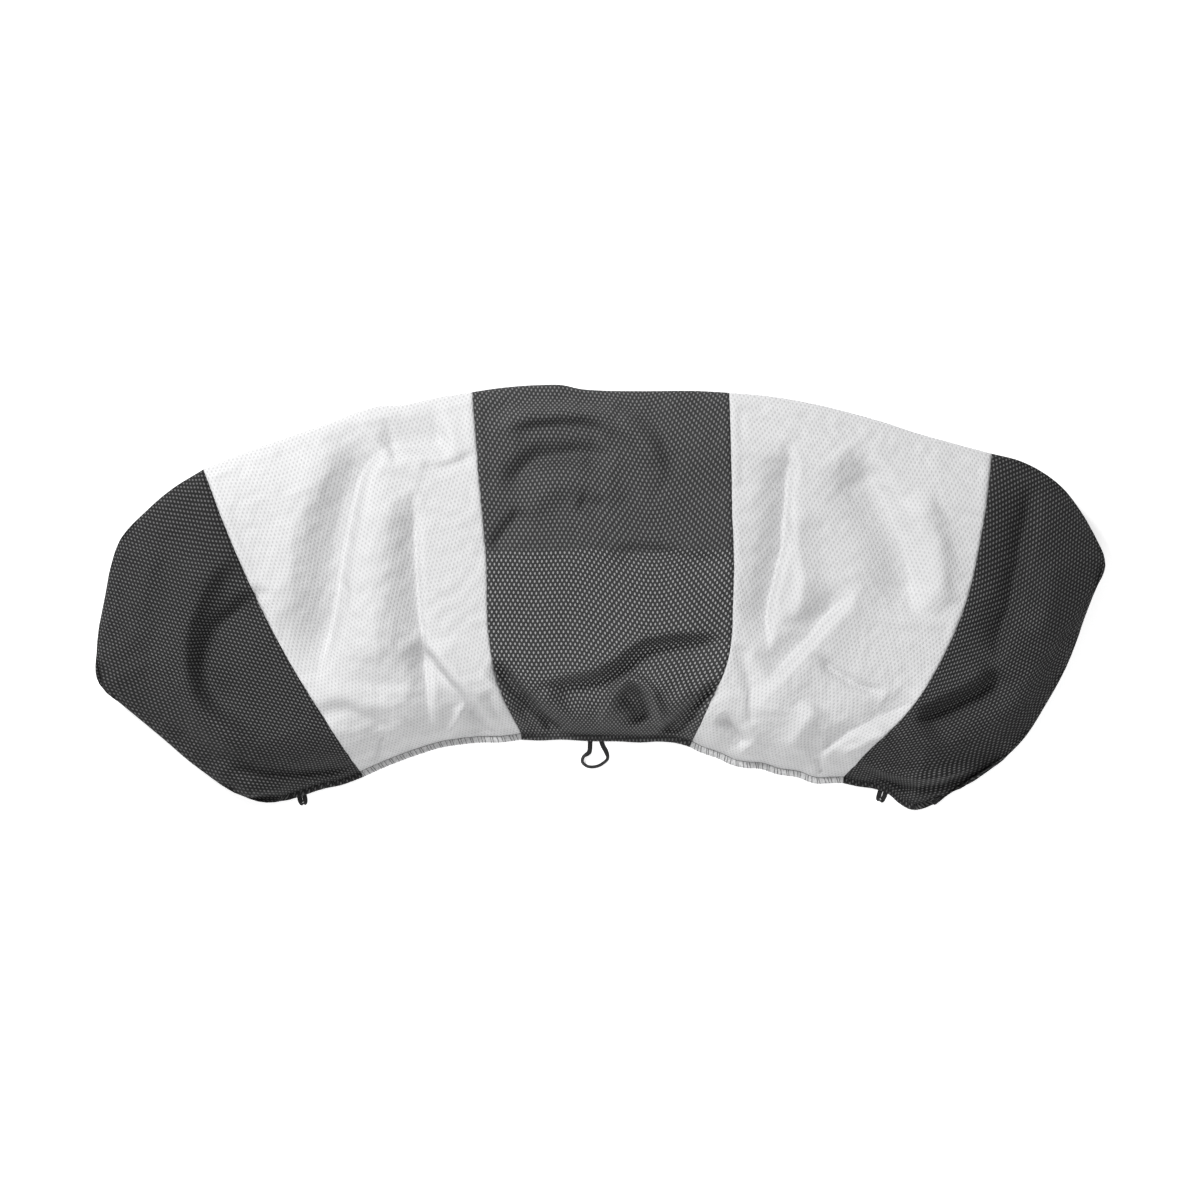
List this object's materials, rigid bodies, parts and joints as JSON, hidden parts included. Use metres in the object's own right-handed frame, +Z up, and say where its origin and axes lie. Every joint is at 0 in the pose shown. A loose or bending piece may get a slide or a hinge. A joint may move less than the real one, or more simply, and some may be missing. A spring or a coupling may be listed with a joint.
{
  "type": "fly sheet",
  "caption": "Puffed crescent cover of striped fly mesh with an elasticated hem round its mouth and small pull loops.",
  "frame": {"origin": "middle of the resting plane, under the middle of the whole cover", "axes": "+X along the cover to its right end, +Y from the front lip to the crown fold, +Z up through the crown"},
  "size_m": [1.0084, 0.4232, 0.08],
  "materials": {
    "black_mesh": "matt polyester fly mesh",
    "white_mesh": "matt polyester fly mesh",
    "black_elastic": "ribbed flat elastic",
    "black_thread": "spun polyester thread"
  },
  "bodies": {
    "cover": {"left_end_panel": "black_mesh", "left_panel": "white_mesh", "centre_panel": "black_mesh", "right_panel": "white_mesh", "right_end_panel": "black_mesh", "seam_1_overlock": "black_thread", "seam_2_overlock": "black_thread", "seam_3_overlock": "black_thread", "seam_4_overlock": "black_thread", "hem_elastic": "black_elastic", "elastic_lap_stitches": "black_thread", "hem_overlock_stitches": "black_thread", "centre_loop_tails": "black_elastic", "centre_loop_bar_tacks": "black_thread", "left_loop_tail": "black_elastic", "left_loop_bar_tack": "black_thread", "right_loop_tail": "black_elastic", "right_loop_bar_tack": "black_thread"},
    "centre_loop": {"centre_loop": "black_elastic"},
    "left_loop": {"left_loop": "black_elastic"},
    "right_loop": {"right_loop": "black_elastic"}
  },
  "joints": [
    {"name": "centre_loop_swing", "type": "hinge", "parent": "cover", "child": "centre_loop", "pos_m": [-0.00581, -0.14429, 0.00045], "axis": [-1, 0, 0], "range_deg": [0, 90]},
    {"name": "left_loop_swing", "type": "hinge", "parent": "cover", "child": "left_loop", "pos_m": [-0.30074, -0.20068, 0.00045], "axis": [-0.9811, -0.1936, 0], "range_deg": [0, 90]},
    {"name": "right_loop_swing", "type": "hinge", "parent": "cover", "child": "right_loop", "pos_m": [0.28428, -0.19524, 0.00045], "axis": [-0.9374, 0.3482, 0], "range_deg": [0, 90]}
  ]
}
